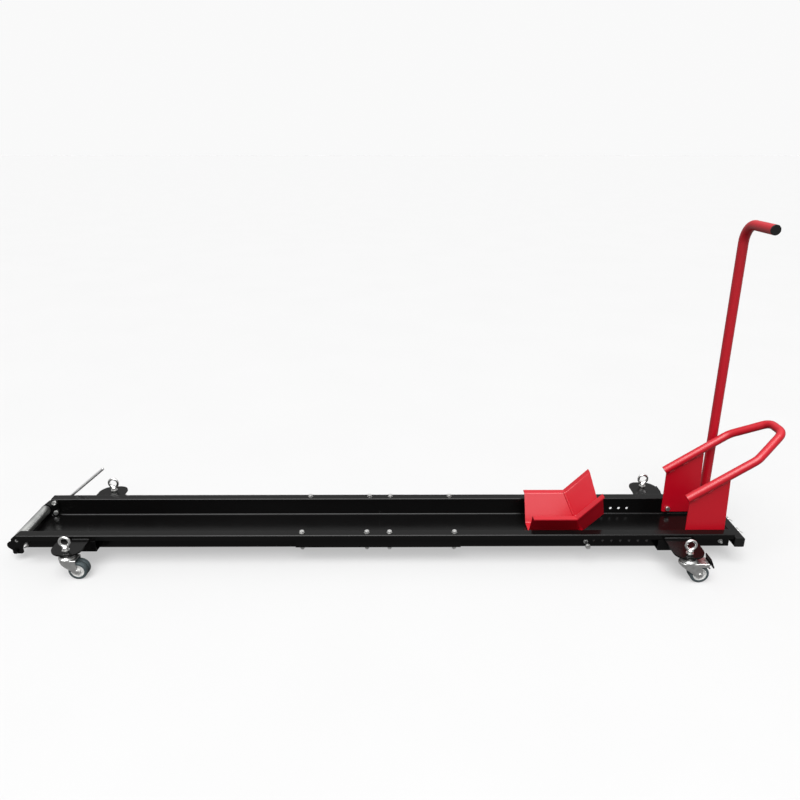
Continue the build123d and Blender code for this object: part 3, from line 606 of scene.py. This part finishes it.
def ring_weld(name, center, axis, radius, lean, body, slot, **shape):
    """Bead round a tube of the given radius; lean adds the axis to its outward direction."""
    axis = Vector(axis)
    place = stand(axis, Vector(center))
    steps = int(2 * math.pi * radius / WELD_STEP)
    out = [place.to_3x3() @ p.normalized() for p in circle(radius, 0.0, steps)]
    points = [Vector(center) + p * radius for p in out]
    weld(name, points, [p + axis * lean for p in out], body, slot, closed=True, **shape)


def lip_welds():
    """The long bead that joins each wing plate to the lip of the rail, on top of the wing."""
    wing_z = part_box("stem_washers")[0].z
    for spot in SPOTS:
        node = "front_rail" if spot.startswith("front") else "rear_rail"
        rail_low, rail_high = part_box(node)
        side = -1.0 if spot.endswith("right") else 1.0
        lip_y = rail_low.y if side < 0 else rail_high.y
        eye_x = next(low.x + high.x for low, high in map(corners_of, islands("caster_stems"))
                     if (low.y > 0) == (side > 0) and (low.x > 0) == spot.startswith("front")) / 2
        first, last = (-46.0, 38.0) if spot.startswith("front") else (-8.0, 47.0)
        bead_y, bead_z = lip_y + side * 0.4 * MM, wing_z + 0.3 * MM
        straight_weld("lip_weld_" + spot, (eye_x + first * MM, bead_y, bead_z),
                      (eye_x + last * MM, bead_y, bead_z), (0.0, side, 1.0),
                      "chassis", "black_powder_coat", wide=7.0 * MM, high=2.8 * MM)


def chock_welds():
    """Three short beads under the hoop on both faces of each chock plate."""
    for side, word in ((-1.0, "right"), (1.0, "left")):
        node = "chock_plate_" + word
        low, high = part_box(node)
        spots = [v.co for v in NODES[node].data.vertices]
        front = max(spots, key=lambda p: (round(p.z, 5), p.x)).copy()
        rear = max(spots, key=lambda p: (-round(p.x, 4), p.z)).copy()
        slope = (front - rear).normalized()
        down = Vector((slope.z, 0.0, -slope.x))
        for face, out in (("outer", side), ("inner", -side)):
            y = high.y if out > 0 else low.y
            for number, share in enumerate((0.14, 0.5, 0.86)):
                middle = rear.lerp(front, share) + down * 1.5 * MM
                middle.y = y + out * 0.3 * MM
                straight_weld(f"chock_weld_{word}_{face}_{number + 1}", middle - slope * 11.0 * MM,
                              middle + slope * 11.0 * MM, down * 0.6 + Vector((0.0, out, 0.0)),
                              BODY_OF[node], "red_powder_coat", wide=6.5 * MM, high=3.0 * MM)


def cradle_weld():
    """The bead in the mitre, found with rays shot down the mitre's plane; it spares the lips."""
    node = "wheel_cradle"
    low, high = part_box(node)
    mesh = NODES[node].data
    crease_x = max(v.co.x for v in mesh.vertices if v.co.z < low.z + 0.1 * MM)
    lean = math.tan(math.radians(22.5))
    drop = Vector((lean, 0.0, -1.0)).normalized()
    skin = BVHTree.FromPolygons([v.co for v in mesh.vertices],
                                [p.vertices for p in mesh.polygons])
    top_z = high.z + 100.0 * MM
    top_x = crease_x - lean * (top_z - low.z)
    rays = 400
    points = []
    for k in range(1, rays):
        y = low.y + (high.y - low.y) * k / rays
        hit = skin.ray_cast(Vector((top_x, y, top_z)), drop)[0]
        if hit is not None and abs(y) < high.y - 16.0 * MM:
            points.append(hit)
    ups = []
    for k in range(len(points)):
        along = points[min(k + 4, len(points) - 1)] - points[max(k - 4, 0)]
        up = along.cross(Vector((1.0, 0.0, lean)))
        ups.append(up if up.z > 0 else -up)
    weld("cradle_mitre_weld", points, ups, BODY_OF[node], "red_powder_coat",
         wide=8.0 * MM, high=3.0 * MM)


def tube_welds():
    """Beads round the handle's socket and round both ends of the foot tube."""
    caps_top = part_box("cross_tube_caps")[1].z
    handle_low, handle_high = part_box("handle")
    socket = ((handle_low.x + handle_high.x) / 2, handle_high.y - 15.0 * MM, caps_top)
    ring_weld("socket_weld", socket, (0, 0, 1), 17.0 * MM, 0.8, "chassis", "black_powder_coat")
    tube_low, tube_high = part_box("foot_tube")
    middle = (tube_low + tube_high) / 2
    tube_r = (tube_high.z - tube_low.z) / 2
    for word, y, lean in (("right", tube_low.y, 0.8), ("left", tube_high.y, -0.8)):
        ring_weld("foot_weld_" + word, (middle.x, y, middle.z), (0, 1, 0), tube_r, lean,
                  BODY_OF["foot_tube"], "black_powder_coat", wide=4.0 * MM)


lip_welds()
chock_welds()
cradle_weld()
tube_welds()


# ---------------------------------------------------------------- studio
WHITE = 0.95  # how bright the room behind the floor looks
# The room as light, in (sine of the ray's height, brightness) stops: in reflections, and as fill.
MIRROR_SKY = ((-1.0, 0.14), (-0.55, 0.24), (-0.1, 0.4), (0.3, 0.42), (0.5, 0.5), (0.8, 1.3),
              (1.0, 1.6))
FILL_SKY = ((-1.0, 0.14), (-0.2, 0.3), (0.1, 0.44), (0.5, 0.7), (1.0, 0.9))
FLOOR_HALF = 60.0  # half the side of the floor, in metres


def sky(nodes, links, stops):
    """A grey background whose brightness follows the height of the ray, by the given stops."""
    split = nodes.new("ShaderNodeSeparateXYZ")
    links.new(nodes.new("ShaderNodeTexCoord").outputs["Generated"], split.inputs[0])
    height = nodes.new("ShaderNodeMapRange")
    height.inputs["From Min"].default_value = -1.0
    links.new(split.outputs["Z"], height.inputs["Value"])
    ramp = nodes.new("ShaderNodeValToRGB")
    while len(ramp.color_ramp.elements) < len(stops):
        ramp.color_ramp.elements.new(0.5)
    for element, (sine, level) in zip(ramp.color_ramp.elements, stops):
        element.position = (sine + 1.0) / 2
        element.color = (level, level, level, 1.0)
    links.new(height.outputs["Result"], ramp.inputs["Fac"])
    background = nodes.new("ShaderNodeBackground")
    links.new(ramp.outputs["Color"], background.inputs["Color"])
    return background.outputs[0]


def studio_world():
    """A pale room: even white to the eye, brighter overhead as a light and in reflections."""
    world = bpy.data.worlds.new("studio")
    bpy.context.scene.world = world
    world.use_nodes = True
    nodes, links = world.node_tree.nodes, world.node_tree.links
    nodes.clear()
    path = nodes.new("ShaderNodeLightPath")
    seen = nodes.new("ShaderNodeBackground")
    seen.inputs["Color"].default_value = (WHITE, WHITE, WHITE, 1.0)
    lit = nodes.new("ShaderNodeMixShader")
    links.new(path.outputs["Is Glossy Ray"], lit.inputs["Fac"])
    links.new(sky(nodes, links, FILL_SKY), lit.inputs[1])
    links.new(sky(nodes, links, MIRROR_SKY), lit.inputs[2])
    room = nodes.new("ShaderNodeMixShader")
    links.new(path.outputs["Is Camera Ray"], room.inputs["Fac"])
    links.new(lit.outputs[0], room.inputs[1])
    links.new(seen.outputs[0], room.inputs[2])
    links.new(room.outputs[0], nodes.new("ShaderNodeOutputWorld").inputs["Surface"])


def studio_floor():
    """Pale floor, partly self-lit so that the shadows on it stay soft and light."""
    bm = bmesh.new()
    bmesh.ops.create_grid(bm, x_segments=1, y_segments=1, size=FLOOR_HALF)
    mesh = bpy.data.meshes.new("floor")
    bm.to_mesh(mesh)
    bm.free()
    floor = bpy.data.objects.new("floor", mesh)
    bpy.context.scene.collection.objects.link(floor)
    paint = Shader("pale_floor", (0.24, 0.24, 0.24), 0.8, specular=0.0)
    mottle = paint.level(paint.noise(2.0, 3.0), 0.0, 1.0)
    paint.color(mottle, (0.237, 0.237, 0.237), (0.243, 0.243, 0.243))
    paint.surface.inputs["Emission Color"].default_value = (1.0, 1.0, 1.0, 1.0)
    paint.surface.inputs["Emission Strength"].default_value = 0.45
    mesh.materials.append(paint.material)
    floor.visible_glossy = False
    floor.visible_diffuse = False


def front_softbox():
    """A wide panel behind the camera, for the sheen on what faces up and forward."""
    place, aim = Vector((0.2, -3.8, 2.7)), Vector((0.2, 0.0, 0.1))
    light = bpy.data.lights.new("front_softbox", "AREA")
    light.shape = "RECTANGLE"
    light.size, light.size_y = 4.5, 1.3
    light.energy = 52.0
    lamp = bpy.data.objects.new("front_softbox", light)
    lamp.location = place
    lamp.rotation_euler = (aim - place).to_track_quat("-Z", "Y").to_euler()
    bpy.context.scene.collection.objects.link(lamp)


def softbox():
    """One big soft light, high up and a little in front."""
    light = bpy.data.lights.new("softbox", "SUN")
    light.energy = 4.5
    light.angle = math.radians(50.0)
    lamp = bpy.data.objects.new("softbox", light)
    lamp.rotation_euler = (math.radians(24.0), math.radians(-8.0), 0.0)
    bpy.context.scene.collection.objects.link(lamp)


studio_world()
studio_floor()
softbox()
front_softbox()

# The camera that was solved from the rail's edges and the uprights of the photo.
FOCAL_PX = 700.0
FRAME_PX = 800.0
SENSOR_MM = 36.0
camera = bpy.data.cameras.new("camera")
camera.sensor_width = SENSOR_MM
camera.lens = FOCAL_PX / FRAME_PX * SENSOR_MM
camera.shift_y = -0.0205
eye = bpy.data.objects.new("camera", camera)
eye.location = (0.016, -2.003, 1.247)
LOOK_DOWN, TURN = 19.19, -0.23  # degrees
eye.rotation_euler = (math.radians(90.0 - LOOK_DOWN), 0.0, math.radians(TURN))
bpy.context.scene.collection.objects.link(eye)
bpy.context.scene.camera = eye
bpy.context.scene.view_settings.view_transform = "Standard"
